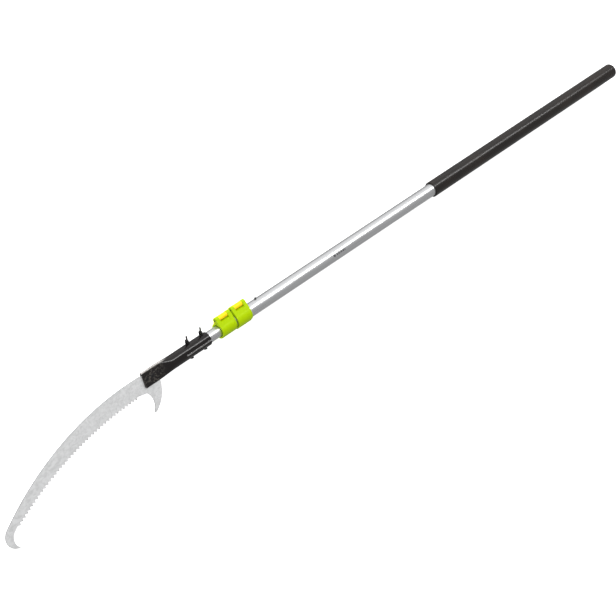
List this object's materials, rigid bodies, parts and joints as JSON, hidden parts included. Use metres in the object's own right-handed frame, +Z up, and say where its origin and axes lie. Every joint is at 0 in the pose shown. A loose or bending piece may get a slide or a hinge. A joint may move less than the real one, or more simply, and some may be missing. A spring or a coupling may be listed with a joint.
{
  "type": "telescoping pole saw",
  "caption": "Long pruning saw: a curved, hooked blade in a flattened socket on nested sliding tubes with cam clamps, wing nuts and a rubber grip.",
  "frame": {"origin": "centre of the flat butt end, on the axis of the pole", "axes": "+X along the pole from the butt end to the blade, +Y towards the side the teeth face, +Z up out of the flat of the blade as it lies on a floor"},
  "size_m": [2.1225, 0.1965, 0.0468],
  "materials": {
    "aluminium_tube": "satin anodised, drawn along the tube",
    "rivet_aluminium": "plain",
    "grip_rubber": "matt, finely textured",
    "black_plastic": "matt",
    "bush_black": "matt nylon",
    "clamp_green": "satin moulded",
    "lever_yellow": "satin moulded",
    "black_steel": "black zinc",
    "socket_black": "black powder coat, semi gloss",
    "blade_steel": "satin, ground across the blade"
  },
  "bodies": {
    "pole_base": {"outer_tube": "aluminium_tube", "grip_sleeve": "grip_rubber", "butt_cap": "grip_rubber", "stop_stud": "black_plastic", "rear_collar": "clamp_green", "rear_bush": "bush_black", "rear_hinge_pin": "black_steel", "rear_collar_rivets": "rivet_aluminium"},
    "rear_lever_body": {"rear_lever": "lever_yellow"},
    "middle_section": {"middle_tube": "aluminium_tube", "middle_guide": "bush_black", "front_collar": "clamp_green", "front_bush": "bush_black", "front_hinge_pin": "black_steel", "front_collar_rivets": "rivet_aluminium"},
    "front_lever_body": {"front_lever": "lever_yellow"},
    "saw_head": {"inner_tube": "aluminium_tube", "inner_guide": "bush_black", "head_socket": "socket_black", "socket_bolts": "black_steel", "bolt_washers": "black_steel", "saw_blade": "blade_steel", "blade_rivets": "black_steel"},
    "rear_nut_body": {"rear_wing_nut": "black_steel"},
    "front_nut_body": {"front_wing_nut": "black_steel"}
  },
  "joints": [
    {"name": "middle_slide", "type": "slide", "parent": "pole_base", "child": "middle_section", "axis": [1, 0, 0], "range_m": [0, 1.15]},
    {"name": "head_slide", "type": "slide", "parent": "middle_section", "child": "saw_head", "axis": [1, 0, 0], "range_m": [0, 1.15]},
    {"name": "rear_lever_hinge", "type": "hinge", "parent": "pole_base", "child": "rear_lever_body", "pos_m": [1.425, -0.0273, 0], "axis": [-1, 0, 0], "range_deg": [0, 120]},
    {"name": "front_lever_hinge", "type": "hinge", "parent": "middle_section", "child": "front_lever_body", "pos_m": [1.4715, -0.0258, 0], "axis": [-1, 0, 0], "range_deg": [0, 120]},
    {"name": "rear_nut_turn", "type": "hinge", "parent": "saw_head", "child": "rear_nut_body", "pos_m": [1.537, -0.01705, 0], "axis": [0, -1, 0], "continuous": true},
    {"name": "front_nut_turn", "type": "hinge", "parent": "saw_head", "child": "front_nut_body", "pos_m": [1.577, -0.01705, 0], "axis": [0, -1, 0], "continuous": true}
  ]
}
